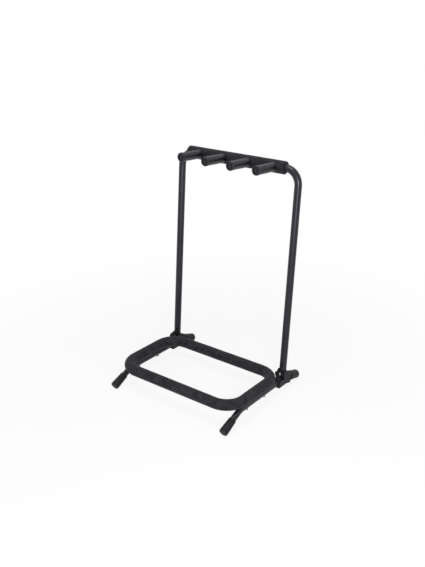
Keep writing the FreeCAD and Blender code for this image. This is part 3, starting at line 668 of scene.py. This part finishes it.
@dataclass
class RingSleeve:
    """Foam sleeve round the ring that the guitars' bodies stand on, pressed by the legs below it."""

    width: float = 2.0 * SIDE_X
    depth: float = 0.242
    corner: float = 0.060
    corner_points: int = 24
    radius: float = 0.01675
    tilt: float = math.radians(2.5)
    step: float = 0.0025
    sides: int = 56
    leg_drop: float = 0.0227
    leg_front: float = 0.078
    leg_rear: float = 0.170
    leg_fall: float = math.radians(24.0)
    groove: float = 0.0099
    bulge: float = 0.0005
    bulge_width: float = 0.007
    pucker: float = 0.00045
    pucker_waves: int = 8
    seam_depth: float = 0.0007
    seam_width: float = 0.0016
    uneven: Unevenness = Unevenness(depth=0.00022, patch=0.030, shift=3.0)
    fill: float = 0.9

    def tree(self) -> GeometryTree:
        """Build the tree of a round sleeve that follows a rounded rectangle.

        Returns:
            The tree.
        """
        tree = GeometryTree(
            "ring_sleeve",
            Width="NodeSocketFloat",
            Depth="NodeSocketFloat",
            Corner="NodeSocketFloat",
            Radius="NodeSocketFloat",
            Step="NodeSocketFloat",
            Sides="NodeSocketInt",
        )
        source = tree.source
        inputs = {"Width": source["Width"], "Height": source["Depth"]}
        path = tree.add("GeometryNodeCurvePrimitiveQuadrilateral", inputs, mode="RECTANGLE").outputs[0]
        inputs = {"Curve": path, "Count": self.corner_points, "Radius": source["Corner"]}
        path = tree.add("GeometryNodeFilletCurve", inputs, mode="POLY").outputs[0]
        inputs = {"Curve": path, "Length": source["Step"]}
        path = tree.add("GeometryNodeResampleCurve", inputs, mode="LENGTH").outputs[0]
        inputs = {"Resolution": source["Sides"], "Radius": source["Radius"]}
        section = tree.add("GeometryNodeCurvePrimitiveCircle", inputs, mode="RADIUS").outputs[0]
        sleeve = tree.add("GeometryNodeCurveToMesh", {"Curve": path, "Profile Curve": section}).outputs[0]
        tree.close(sleeve)
        return tree

    def pressed_by_leg(self, point: Vector) -> Vector:
        """Move a point out of the leg under it, and swell the foam beside the leg.

        Args:
            point: a point of the surface in the ring's frame.

        Returns:
            The moved point.
        """
        side = math.copysign(SIDE_X, point.x)
        bend = Vector((side, -self.leg_front, -self.leg_drop))
        along = Vector((0.0, 1.0, 0.0))
        if point.y < bend.y:
            along = Vector((0.0, -math.cos(self.leg_fall), -math.sin(self.leg_fall)))
        reach = max(0.0, (point - bend).dot(along))
        axis = bend + along * min(reach, self.leg_front + self.leg_rear)
        away = point - axis
        gap = away.length
        if gap < self.groove:
            return axis + away * (self.groove / gap)
        share = max(0.0, 1.0 - (gap - self.groove) / self.bulge_width)
        return point + away * (self.bulge * share * share / gap)

    def inner_pucker(self, point: Vector) -> float:
        """How far the foam is drawn in by the small folds inside a corner.

        Args:
            point: a point of the surface in the ring's frame.

        Returns:
            The depth of the fold there.
        """
        across = abs(point.x) - (self.width / 2.0 - self.corner)
        back = abs(point.y) - (self.depth / 2.0 - self.corner)
        if across <= 0.0 or back <= 0.0:
            return 0.0
        inward = (self.corner - math.hypot(across, back)) / self.radius
        turn = math.atan2(back, across) / (math.pi / 2.0)
        fade = math.sin(math.pi * turn) ** 0.5 * max(0.0, inward) ** 2
        fold = 0.5 - 0.5 * math.cos(2.0 * math.pi * self.pucker_waves * turn)
        return self.pucker * fade * fold

    def seam(self, point: Vector) -> float:
        """Depth of the butt seam of the sleeve's two ends, in the middle of the rear bar.

        Args:
            point: a point of the surface in the ring's frame.

        Returns:
            The depth of the seam there.
        """
        if point.y < 0.0:
            return 0.0
        return self.seam_depth * math.exp(-((point.x / self.seam_width) ** 2))

    def build(self, finish: bpy.types.Material) -> bpy.types.Object:
        """Make the sleeve in its place.

        Args:
            finish: the foam's material.

        Returns:
            The piece.
        """
        piece = new_piece("ring_foam_sleeve")
        self.tree().run(
            piece,
            Width=self.width,
            Depth=self.depth,
            Corner=self.corner,
            Radius=self.radius,
            Step=self.step,
            Sides=self.sides,
            Finish=finish,
        )
        mesh = piece.data
        move_along_normals(mesh, lambda point: -self.inner_pucker(point) - self.seam(point))
        self.uneven.give(mesh)
        for vertex in mesh.vertices:
            vertex.co = self.pressed_by_leg(vertex.co)
        low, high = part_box("ring_foam")
        mesh.transform(Matrix.Translation((low + high) / 2.0) @ Matrix.Rotation(-self.tilt, 4, "X"))
        mesh.update()
        return piece

    def dress(self, finish: bpy.types.Material) -> None:
        """Build the sleeve and settle it on the base.

        Args:
            finish: the foam's material.
        """
        piece = self.build(finish)
        settle(piece, Body.BASE, Slot.FOAM, "ring_foam")


@dataclass
class NeckRest:
    """Foam on the cross bar and on the four pegs that part the guitars' necks."""

    bar_radius: float = 0.019
    bar_lip: float = 0.003
    bar_lip_steps: int = 6
    bar_bore: float = 0.0111
    bar_face: float = 0.0032
    bar_dish: float = 0.0012
    bar_dish_depth: float = 0.0003
    bar_step: float = 0.0026
    bar_sides: int = 56
    bar_uneven: Unevenness = Unevenness(depth=0.00018, patch=0.026, shift=11.0)
    bore_inset: float = 0.0008
    bore_steps: int = 20
    bend_radius: float = 0.045
    peg_radius: float = 0.0135
    peg_crown: float = 0.0002
    peg_sink: float = 0.0002
    peg_bore: float = 0.0081
    peg_end: float = 0.098
    peg_lip: float = 0.0012
    peg_lip_steps: int = 4
    peg_steps: int = 30
    peg_sides: int = 44
    peg_count: int = 4
    peg_spacing: float = 0.089
    peg_uneven: Unevenness = Unevenness(depth=0.00012, patch=0.018, shift=23.0)
    fill: float = 0.9

    def __post_init__(self) -> None:
        """Read the bar's ends and axis from its solid."""
        low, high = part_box("neck_rest_foam")
        self.bar_left: float = low.x
        self.bar_right: float = high.x
        self.axis: Vector = Vector((0.0, low.y + high.y, low.z + high.z)) / 2.0

    def frame(self) -> Matrix:
        """Matrix from the cross bar's own frame to the part's."""
        return leaning(self.axis)

    def tube_drop(self, across: float) -> float:
        """How far the bent tube has fallen below the bar's axis, at a distance from the middle."""
        into = max(0.0, abs(across) - (SIDE_X - self.bend_radius))
        return self.bend_radius - math.sqrt(self.bend_radius**2 - into**2)

    def bar_row(self, across: float, radius: float, drop: float) -> list[Vector]:
        """One ring of points round the bar.

        Args:
            across: the ring's place along the bar.
            radius: its radius.
            drop: how far its middle is below the bar's axis.

        Returns:
            The points.
        """
        row = []
        for step in range(self.bar_sides):
            turn = 2.0 * math.pi * step / self.bar_sides
            row.append(Vector((across, radius * math.cos(turn), radius * math.sin(turn) - drop)))
        return row

    def bar_end(self) -> list[tuple[float, float]]:
        """Section of an end of the bar's sleeve: round its lip and over its face to the bore.

        Returns:
            Points as distance past the straight outside, and radius.
        """
        section = []
        for step in range(1, self.bar_lip_steps + 1):
            turn = math.pi / 2.0 * step / self.bar_lip_steps
            fall = self.bar_lip * (1.0 - math.cos(turn))
            section.append((self.bar_lip * math.sin(turn), self.bar_radius - fall))
        section.append((self.bar_lip, self.bar_bore + self.bar_face))
        section.append((self.bar_lip - self.bar_dish_depth, self.bar_bore + self.bar_dish))
        return section

    def bar_rows(self) -> Rows:
        """Rings of the bar's sleeve: along the outside, round the right lip, back through the bore.

        Returns:
            The rings, in the bar's own frame.
        """
        low = self.bar_left + self.bar_lip
        high = self.bar_right - self.bar_lip
        count = round((high - low) / self.bar_step)
        outside = [(low + (high - low) * step / count, self.bar_radius) for step in range(count + 1)]
        right = [(high + away, radius) for away, radius in self.bar_end()]
        left = [(low - away, radius) for away, radius in reversed(self.bar_end())]
        rows = [self.bar_row(across, radius, 0.0) for across, radius in left + outside + right]
        first = self.bar_right - self.bore_inset
        last = self.bar_left + self.bore_inset
        for step in range(self.bore_steps + 1):
            across = first + (last - first) * step / self.bore_steps
            rows.append(self.bar_row(across, self.bar_bore, self.tube_drop(across)))
        return rows

    def build_bar(self, finish: bpy.types.Material) -> bpy.types.Object:
        """Make the cross bar's sleeve in its place.

        Args:
            finish: the foam's material.

        Returns:
            The piece.
        """
        mesh = skin_rows("neck_rest_sleeve", self.bar_rows())
        self.bar_uneven.give(mesh)
        mesh.transform(self.frame())
        mesh.materials.append(finish)
        return new_piece("neck_rest_sleeve", mesh)

    def peg_row(self, radius: float, place: Callable[[float], float]) -> list[Vector]:
        """One ring of points round a peg.

        Args:
            radius: the ring's radius.
            place: gives a point's place along the peg from its height over the peg's axis.

        Returns:
            The points.
        """
        row = []
        for step in range(self.peg_sides):
            turn = 2.0 * math.pi * step / self.peg_sides
            height = radius * math.sin(turn)
            row.append(Vector((radius * math.cos(turn), place(height), height)))
        return row

    def on_bar(self, height: float) -> float:
        """Where the bar's sleeve meets a peg, at a height over the peg's axis."""
        return math.sqrt((self.bar_radius - self.peg_sink) ** 2 - height**2)

    def along_peg(self, share: float, height: float) -> float:
        """Place at a share of the way from the bar to a peg's lip, at a height over the peg's axis."""
        return self.on_bar(height) * (1.0 - share) + (self.peg_end - self.peg_lip) * share

    def peg_rows(self) -> Rows:
        """Rings of one peg's sleeve: out from the bar, round the lip at the cap, back through the bore.

        Returns:
            The rings, in the bar's own frame.
        """
        ends_radius = self.peg_radius - self.peg_crown
        rows = []
        for index in range(self.peg_steps + 1):
            share = index / self.peg_steps
            radius = ends_radius + self.peg_crown * math.sin(math.pi * share)
            rows.append(self.peg_row(radius, partial(self.along_peg, share)))
        for index in range(1, self.peg_lip_steps + 1):
            turn = math.pi / 2.0 * index / self.peg_lip_steps
            away = self.peg_end - self.peg_lip * (1.0 - math.sin(turn))
            radius = ends_radius - self.peg_lip * (1.0 - math.cos(turn))
            rows.append(self.peg_row(radius, lambda height, away=away: away))
        rows.append(self.peg_row(self.peg_bore, lambda height: self.peg_end))
        rows.append(self.peg_row(self.peg_bore, self.on_bar))
        return rows

    def peg_tree(self) -> GeometryTree:
        """Build the tree that repeats one peg's sleeve along the bar.

        Returns:
            The tree.
        """
        tree = GeometryTree(
            "neck_pegs", Count="NodeSocketInt", First="NodeSocketVector", Pitch="NodeSocketVector"
        )
        source = tree.source
        inputs = {"Count": source["Count"], "Start Location": source["First"], "Offset": source["Pitch"]}
        line = tree.add("GeometryNodeMeshLine", inputs, mode="OFFSET").outputs[0]
        inputs = {"Points": line, "Instance": source["Geometry"]}
        tree.close(tree.add("GeometryNodeInstanceOnPoints", inputs).outputs[0])
        return tree

    def build_pegs(self, finish: bpy.types.Material) -> bpy.types.Object:
        """Make the four pegs' sleeves in their places.

        Args:
            finish: the foam's material.

        Returns:
            The piece.
        """
        piece = new_piece("neck_peg_sleeves", skin_rows("neck_peg_sleeve", self.peg_rows()))
        first = -self.peg_spacing * (self.peg_count - 1) / 2.0
        self.peg_tree().run(
            piece,
            Count=self.peg_count,
            First=(first, 0.0, 0.0),
            Pitch=(self.peg_spacing, 0.0, 0.0),
            Finish=finish,
        )
        self.peg_uneven.give(piece.data)
        piece.data.transform(self.frame())
        return piece

    def dress(self, bar_finish: bpy.types.Material, peg_finish: bpy.types.Material) -> None:
        """Build both sleeves and settle them on the back frame.

        Args:
            bar_finish: the material of the foam on the bar.
            peg_finish: the material of the foam on the pegs.
        """
        bar = self.build_bar(bar_finish)
        settle(bar, Body.BACK_FRAME, Slot.FOAM, "neck_rest_foam")
        pegs = self.build_pegs(peg_finish)
        names = [f"neck_peg_foam_{index}" for index in range(1, self.peg_count + 1)]
        settle(pegs, Body.BACK_FRAME, Slot.FOAM, *names)


@dataclass
class ForkWelds:
    """Weld beads that join the hinge forks to the uprights, under the same coat."""

    pivot: Vector
    upright_behind: float = 0.02635
    half_width: float = 0.0047
    low: float = -0.0097
    high: float = 0.0139
    seam_steps: int = 4
    seam_lift: float = 0.0002
    pitch: float = 0.00125
    bead: float = 0.0014
    bead_least: float = 0.85
    bead_most: float = 1.1
    seed: int = 7

    def frame(self) -> Matrix:
        """Matrix from a frame on the uprights' axes, level with the fold pivot, to the part's."""
        return leaning(self.pivot) @ Matrix.Translation((0.0, -self.upright_behind, 0.0))

    def seam(self, side: float) -> list[Vector]:
        """Points of the closed seam round one fork's root.

        Args:
            side: place of the upright across the part.

        Returns:
            The points, on the upright's surface, in the leaning frame.
        """
        steps = range(-self.seam_steps, self.seam_steps + 1)
        across = [self.half_width * step / self.seam_steps for step in steps]
        flat = [(x, self.high) for x in across] + [(-x, self.low) for x in across]
        lift = self.seam_lift
        return [Vector((side + x, math.sqrt(FRAME_RADIUS**2 - x**2) + lift, z)) for x, z in flat]

    def seam_mesh(self) -> bpy.types.Mesh:
        """Both seams as closed lines of edges.

        Returns:
            The mesh, in the leaning frame.
        """
        work = bmesh.new()
        for side in (-SIDE_X, SIDE_X):
            points = [work.verts.new(point) for point in self.seam(side)]
            for index, point in enumerate(points):
                work.edges.new((point, points[(index + 1) % len(points)]))
        mesh = bpy.data.meshes.new("fork_weld_seams")
        work.to_mesh(mesh)
        work.free()
        return mesh

    def tree(self) -> GeometryTree:
        """Build the tree that lays beads along the seams.

        Returns:
            The tree.
        """
        tree = GeometryTree(
            "weld_beads", Pitch="NodeSocketFloat", Bead="NodeSocketFloat", Seed="NodeSocketInt"
        )
        source = tree.source
        path = tree.add("GeometryNodeMeshToCurve", {"Mesh": source["Geometry"]}).outputs[0]
        inputs = {"Curve": path, "Length": source["Pitch"]}
        path = tree.add("GeometryNodeResampleCurve", inputs, mode="LENGTH").outputs[0]
        inputs = {"Radius": source["Bead"], "Subdivisions": 2}
        ball = tree.add("GeometryNodeMeshIcoSphere", inputs).outputs[0]
        inputs = {"Seed": source["Seed"], RANDOM_LEAST: self.bead_least, RANDOM_MOST: self.bead_most}
        size = tree.add("FunctionNodeRandomValue", inputs, data_type="FLOAT").outputs[RANDOM_RESULT]
        inputs = {"Points": path, "Instance": ball, "Scale": size}
        tree.close(tree.add("GeometryNodeInstanceOnPoints", inputs).outputs[0])
        return tree

    def dress(self, finish: bpy.types.Material) -> None:
        """Lay the beads and settle them on the back frame.

        Args:
            finish: the material of the coat over them.
        """
        piece = new_piece("fork_weld_beads", self.seam_mesh())
        self.tree().run(piece, Pitch=self.pitch, Bead=self.bead, Seed=self.seed, Finish=finish)
        piece.data.transform(self.frame())
        settle(piece, Body.BACK_FRAME, Slot.BLACK_STEEL)


@dataclass
class Metalwork:
    """The solids that stay as they are: tubes, hinges, feet, caps and fasteners."""

    frame: dict[str, Any]
    hinge_solids: tuple[str, ...] = ("hinge_bracket", "hinge_fork", "hinge_nut", "hinge_washers")

    def dress(self, finishes: dict[Slot, bpy.types.Material], hinge_finish: bpy.types.Material) -> None:
        """Give every solid the finish of its slot in the record, and the hinges their duller coat.

        Args:
            finishes: the materials by slot.
            hinge_finish: the material of brackets, forks, nuts and washers.
        """
        for row in self.frame["record"]["subparts"]:
            finish = finishes[Slot(row["material_slot"])]
            if row["node"].endswith(self.hinge_solids):
                finish = hinge_finish
            mesh = self.frame["nodes"][row["node"]].data
            mesh.materials.clear()
            mesh.materials.append(finish)
            log.info("solid %s in %s", row["node"], finish.name)


@dataclass(frozen=True)
class Softbox:
    """A soft lamp aimed at the stand from a direction round it."""

    name: str
    azimuth: float
    elevation: float
    distance: float
    width: float
    height: float
    power: float
    aim: tuple[float, float, float] = (0.0, 0.0, 0.33)

    def build(self) -> None:
        """Hang the lamp."""
        lamp = bpy.data.lights.new(self.name, "AREA")
        lamp.shape = "RECTANGLE"
        lamp.size = self.width
        lamp.size_y = self.height
        lamp.energy = self.power
        turn = math.radians(self.azimuth)
        rise = math.radians(self.elevation)
        flat = math.cos(rise)
        away = Vector((math.sin(turn) * flat, -math.cos(turn) * flat, math.sin(rise)))
        box = bpy.data.objects.new(self.name, lamp)
        box.location = Vector(self.aim) + away * self.distance
        box.rotation_euler = (-away).to_track_quat("-Z", "Y").to_euler()
        box.visible_camera = False
        bpy.context.scene.collection.objects.link(box)


@dataclass
class Studio:
    """White studio round the stand: floor, sky, lamps and the photograph's camera."""

    floor_half: float = 40.0
    floor_colour: Colour = (0.90, 0.90, 0.90, 1.0)
    floor_rough: float = 0.9
    shadow_near: float = 0.35
    shadow_far: float = 1.3
    shadow_white: float = 0.86
    sky_light: float = 0.38
    camera_place: tuple[float, float, float] = (1.2416365, -1.5575295, 1.2435236)
    camera_azimuth: float = 37.7864
    camera_elevation: float = 24.3189
    camera_roll: float = -1.2953
    lens: float = 46.692
    sensor_width: float = 36.0
    lamps: tuple[Softbox, ...] = (
        Softbox(
            name="key_softbox",
            azimuth=40.0,
            elevation=-1.0,
            distance=1.75,
            width=1.0,
            height=1.3,
            power=8.5,
            aim=(0.0, 0.0, 0.83),
        ),
        Softbox(
            name="high_softbox",
            azimuth=40.0,
            elevation=7.0,
            distance=1.9,
            width=0.35,
            height=0.7,
            power=21.0,
            aim=(0.2, 0.15, 0.65),
        ),
        Softbox(
            name="top_softbox",
            azimuth=20.0,
            elevation=80.0,
            distance=1.8,
            width=0.6,
            height=0.6,
            power=11.0,
        ),
        Softbox(
            name="fill_softbox",
            azimuth=-40.0,
            elevation=25.0,
            distance=2.6,
            width=1.4,
            height=1.4,
            power=3.0,
        ),
    )

    @staticmethod
    def seen_directly(wiring: Wiring) -> bpy.types.NodeSocket:
        """Tell rays that show the studio from rays that only gather its light.

        Args:
            wiring: the tree that asks.

        Returns:
            1 for a ray from the camera, from a glossy surface or through glass, and 0 for the others.
        """
        rays = wiring.add("ShaderNodeLightPath").outputs
        seen = wiring.math("MAXIMUM", rays["Is Camera Ray"], rays["Is Glossy Ray"])
        return wiring.math("MAXIMUM", seen, rays["Is Transmission Ray"])

    def build_sky(self) -> None:
        """White where it is seen, a plain grey light elsewhere."""
        world = bpy.data.worlds.new("studio_sky")
        world.use_nodes = True
        world.node_tree.nodes.clear()
        wiring = Wiring(world.node_tree)
        light = (self.sky_light, self.sky_light, self.sky_light, 1.0)
        colour = wiring.between(self.seen_directly(wiring), light, WHITE)
        sky = wiring.add("ShaderNodeBackground", {"Color": colour, "Strength": 1.0})
        wiring.add("ShaderNodeOutputWorld", {"Surface": sky.outputs[0]})
        bpy.context.scene.world = world

    def floor_material(self) -> bpy.types.Material:
        """Pale floor that is white where it is seen, and keeps the shadow near the stand.

        Returns:
            The material.
        """
        material = bpy.data.materials.new("studio_floor")
        material.use_nodes = True
        material.node_tree.nodes.clear()
        wiring = Wiring(material.node_tree)
        at = wiring.add("ShaderNodeTexCoord").outputs["Object"]
        away = wiring.add("ShaderNodeVectorMath", {0: at}, operation="LENGTH").outputs["Value"]
        white = wiring.ramp(away, self.shadow_near, self.shadow_far, self.shadow_white, 1.0)
        share = wiring.math("MULTIPLY", white, self.seen_directly(wiring))
        inputs = {
            "Base Color": self.floor_colour,
            "Roughness": self.floor_rough,
            "Specular IOR Level": 0.0,
        }
        lit = wiring.add("ShaderNodeBsdfPrincipled", inputs).outputs[0]
        glow = wiring.add("ShaderNodeEmission", {"Color": WHITE, "Strength": 1.0}).outputs[0]
        mixed = wiring.add("ShaderNodeMixShader", {0: share, 1: lit, 2: glow})
        wiring.add("ShaderNodeOutputMaterial", {"Surface": mixed.outputs[0]})
        return material

    def build_floor(self) -> None:
        """Lay the floor."""
        half = self.floor_half
        mesh = bpy.data.meshes.new("studio_floor")
        corners = [(-half, -half, 0.0), (half, -half, 0.0), (half, half, 0.0), (-half, half, 0.0)]
        mesh.from_pydata(corners, [], [(0, 1, 2, 3)])
        mesh.materials.append(self.floor_material())
        new_piece("studio_floor", mesh)

    def build_camera(self) -> None:
        """Set the camera where the photograph was taken."""
        camera = bpy.data.objects.new("photo_camera", bpy.data.cameras.new("photo_camera"))
        camera.data.lens = self.lens
        camera.data.sensor_width = self.sensor_width
        turn = Matrix.Rotation(math.radians(self.camera_azimuth), 4, "Z")
        tip = Matrix.Rotation(math.radians(90.0 - self.camera_elevation), 4, "X")
        roll = Matrix.Rotation(math.radians(self.camera_roll), 4, "Z")
        camera.matrix_world = Matrix.Translation(self.camera_place) @ turn @ tip @ roll
        bpy.context.scene.collection.objects.link(camera)
        bpy.context.scene.camera = camera

    def build(self) -> None:
        """Set up the whole studio."""
        self.build_camera()
        self.build_sky()
        self.build_floor()
        for lamp in self.lamps:
            lamp.build()
        bpy.context.scene.view_settings.view_transform = "Standard"
        log.info("studio with %d lamps", len(self.lamps))


def main() -> None:
    """Build the stand's looks round its solids."""
    logging.basicConfig(level=logging.INFO, format="%(message)s")
    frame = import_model()
    Studio().build()
    effects = Effects()
    finishes = {
        Slot.BLACK_STEEL: POWDER_COAT.material(effects),
        Slot.FOAM: FOAM_SKIN.material(effects),
        Slot.FOOT_RUBBER: FOOT_RUBBER.material(effects),
        Slot.CAP_PLASTIC: CAP_PLASTIC.material(effects),
        Slot.BRIGHT_STEEL: ZINC_PLATE.material(effects),
    }
    Metalwork(frame).dress(finishes, HINGE_COAT.material(effects))
    RingSleeve().dress(finishes[Slot.FOAM])
    NeckRest().dress(finishes[Slot.FOAM], PEG_FOAM.material(effects))
    fold = frame["record"]["behaviour"]["joints"][0]
    ForkWelds(Vector(fold["pos_m"])).dress(finishes[Slot.BLACK_STEEL])


if __name__ == "__main__":
    main()
